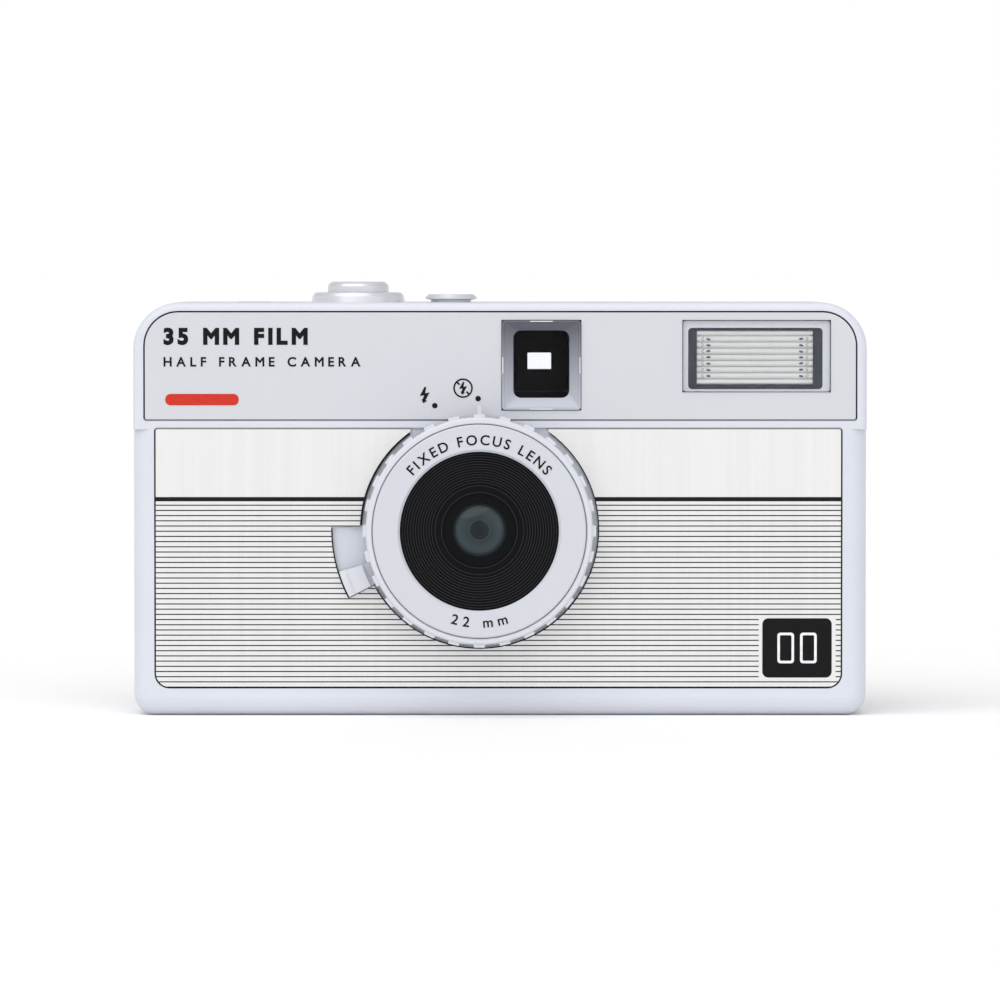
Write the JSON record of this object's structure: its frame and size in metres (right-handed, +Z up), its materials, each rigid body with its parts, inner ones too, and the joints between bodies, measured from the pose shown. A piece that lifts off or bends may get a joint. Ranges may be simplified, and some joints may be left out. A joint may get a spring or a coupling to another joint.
{
  "type": "half frame camera",
  "caption": "Compact rectangular film camera with a toothed ring round a recessed lens, a small viewfinder, a built-in flash window, a top release button and a hinged back.",
  "frame": {"origin": "middle of the bounding box seen from above, on the plane of the flat base the camera stands on", "axes": "+X runs to the right as seen from the front, the lens faces -Y, +Z is up"},
  "size_m": [0.11, 0.039, 0.0651],
  "materials": {
    "casing_white": "smooth satin moulding with a fine grain",
    "panel_white": "satin paint, very slightly metallic",
    "brushed_plate": "vertical brushing above, fine printed lines below",
    "ring_white": "satin",
    "bezel_white": "satin with printed marks",
    "lever_white": "satin to gloss",
    "black_plastic": "matt black moulding",
    "blackened_metal": "blackened spring steel",
    "button_silver": "satin silver",
    "finder_grey": "satin silver-grey",
    "flash_dark": "dark satin",
    "flash_pane": "ribbed translucent plastic",
    "clear_plastic": "polished clear acrylic",
    "lens_glass": "polished acrylic",
    "mirror_foil": "bright aluminium",
    "steel": "plain steel",
    "spring_steel": "bright spring steel",
    "brass": "turned brass",
    "foam": "black foam",
    "board_green": "circuit board",
    "capacitor_sleeve": "shrink sleeve",
    "battery_jacket": "printed jacket, plain"
  },
  "bodies": {
    "camera": {"front_shell": "casing_white", "upper_front_panel": "panel_white", "lower_front_plate": "brushed_plate", "upper_back_cover": "casing_white", "base_cover": "casing_white", "top_cover": "casing_white", "casing_screws": "steel", "film_chassis": "black_plastic", "light_seals": "foam", "lens_housing": "black_plastic", "lens_name_ring": "bezel_white", "front_lens": "lens_glass", "aperture_plate": "black_plastic", "shutter_plate": "blackened_metal", "rear_lens_holder": "black_plastic", "rear_lens": "lens_glass", "lens_retainer": "black_plastic", "button_guide": "steel", "button_spring": "spring_steel", "shutter_collar": "button_silver", "cable_socket": "button_silver", "viewfinder_frame": "finder_grey", "viewfinder_window": "clear_plastic", "viewfinder_tunnel": "black_plastic", "eyepiece_lens": "clear_plastic", "flash_window": "clear_plastic", "flash_frame": "flash_dark", "flash_pane": "flash_pane", "flash_reflector": "mirror_foil", "flash_tube": "lens_glass", "flash_circuit_board": "board_green", "flash_capacitor": "capacitor_sleeve", "battery": "battery_jacket", "battery_contact": "spring_steel", "counter_window": "clear_plastic", "rewind_button_spring": "spring_steel", "door_hinge_pin": "steel", "tripod_bush": "brass"},
    "flash_ring": {"flash_switch_ring": "ring_white"},
    "star_lever": {"star_lever": "lever_white"},
    "star_filter": {"star_filter_arm": "black_plastic", "star_filter_glass": "lens_glass"},
    "shutter_blade": {"shutter_blade": "blackened_metal"},
    "striker": {"striker_lever": "steel"},
    "shutter_button": {"shutter_button": "button_silver"},
    "release_lever": {"release_lever": "steel"},
    "advance": {"take_up_spool": "black_plastic", "advance_wheel": "black_plastic"},
    "sprocket": {"film_sprocket": "black_plastic"},
    "counter": {"counter_disc": "panel_white"},
    "door": {"back_door": "casing_white", "pressure_spring": "spring_steel"},
    "pressure_plate": {"pressure_plate": "blackened_metal"},
    "latch": {"door_latch": "button_silver"},
    "rewind": {"rewind_crank_disc": "button_silver", "rewind_coupler": "black_plastic"},
    "crank_handle": {"crank_handle": "button_silver"},
    "rewind_button": {"rewind_button": "button_silver"},
    "battery_door": {"battery_door": "casing_white", "battery_door_contact": "spring_steel"}
  },
  "joints": [
    {"name": "flash_ring_turn", "type": "hinge", "parent": "camera", "child": "flash_ring", "pos_m": [-0.00307, -0.014, 0.028], "axis": [0, -1, 0], "range_deg": [0, 19.5]},
    {"name": "star_lever_turn", "type": "hinge", "parent": "camera", "child": "star_lever", "pos_m": [-0.00307, -0.012, 0.028], "axis": [0, 1, 0], "range_deg": [0, 16]},
    {"name": "star_filter_swing", "type": "hinge", "parent": "camera", "child": "star_filter", "pos_m": [-0.00307, -0.0111, 0.0185], "axis": [0, 1, 0], "range_deg": [0, 50]},
    {"name": "shutter_blade_swing", "type": "hinge", "parent": "camera", "child": "shutter_blade", "pos_m": [0.00493, -0.0102, 0.028], "axis": [0, -1, 0], "range_deg": [0, 48], "stiffness_Nm_per_rad": 0.0001},
    {"name": "striker_swing", "type": "hinge", "parent": "camera", "child": "striker", "pos_m": [-0.01087, -0.0097, 0.026], "axis": [0, 1, 0], "range_deg": [0, 20], "stiffness_Nm_per_rad": 0.0002},
    {"name": "shutter_button_press", "type": "slide", "parent": "camera", "child": "shutter_button", "axis": [0, 0, -1], "range_m": [0, 0.0018], "stiffness_N_per_m": 400, "springref_m": -0.001, "deforming": ["button_spring"]},
    {"name": "release_lever_rock", "type": "hinge", "parent": "camera", "child": "release_lever", "pos_m": [-0.0145, -0.008, 0.0445], "axis": [0, -1, 0], "range_deg": [0, 15]},
    {"name": "advance_turn", "type": "hinge", "parent": "camera", "child": "advance", "pos_m": [-0.0388, 0.0058, 0.054], "axis": [0, 0, 1], "continuous": true},
    {"name": "sprocket_turn", "type": "hinge", "parent": "camera", "child": "sprocket", "pos_m": [-0.0193, 0.00545, 0.028], "axis": [0, 0, 1], "continuous": true},
    {"name": "counter_turn", "type": "hinge", "parent": "camera", "child": "counter", "pos_m": [-0.0325, 0.0075, 0.058], "axis": [0, 0, 1], "continuous": true},
    {"name": "back_door_swing", "type": "hinge", "parent": "camera", "child": "door", "pos_m": [-0.0534, 0.0169, 0.028], "axis": [0, 0, 1], "range_deg": [0, 110]},
    {"name": "pressure_plate_float", "type": "slide", "parent": "door", "child": "pressure_plate", "axis": [0, 1, 0], "range_m": [0, 0.0005], "stiffness_N_per_m": 150, "springref_m": -0.0008},
    {"name": "door_latch_slide", "type": "slide", "parent": "camera", "child": "latch", "axis": [0, 0, 1], "range_m": [-0.003, 0]},
    {"name": "rewind_turn", "type": "hinge", "parent": "camera", "child": "rewind", "pos_m": [0.0375, 0.0046, 0.003], "axis": [0, 0, -1], "continuous": true},
    {"name": "crank_handle_fold", "type": "hinge", "parent": "rewind", "child": "crank_handle", "pos_m": [0.0435, 0.0046, 0.0007], "axis": [0, -1, 0], "range_deg": [0, 120]},
    {"name": "rewind_button_press", "type": "slide", "parent": "camera", "child": "rewind_button", "axis": [0, 0, 1], "range_m": [0, 0.0015], "stiffness_N_per_m": 300, "springref_m": -0.001, "deforming": ["rewind_button_spring"]},
    {"name": "battery_door_swing", "type": "hinge", "parent": "camera", "child": "battery_door", "pos_m": [0.0192, -0.0079, 0.00095], "axis": [-1, 0, 0], "range_deg": [0, 90]}
  ],
  "couplings": [
    {"joint": "star_filter_swing", "follows": "star_lever_turn", "ratio": 3.125},
    {"joint": "release_lever_rock", "follows": "shutter_button_press", "rad_per_m": 140},
    {"joint": "sprocket_turn", "follows": "advance_turn", "ratio": 0.838},
    {"joint": "counter_turn", "follows": "advance_turn", "ratio": -0.02328}
  ]
}
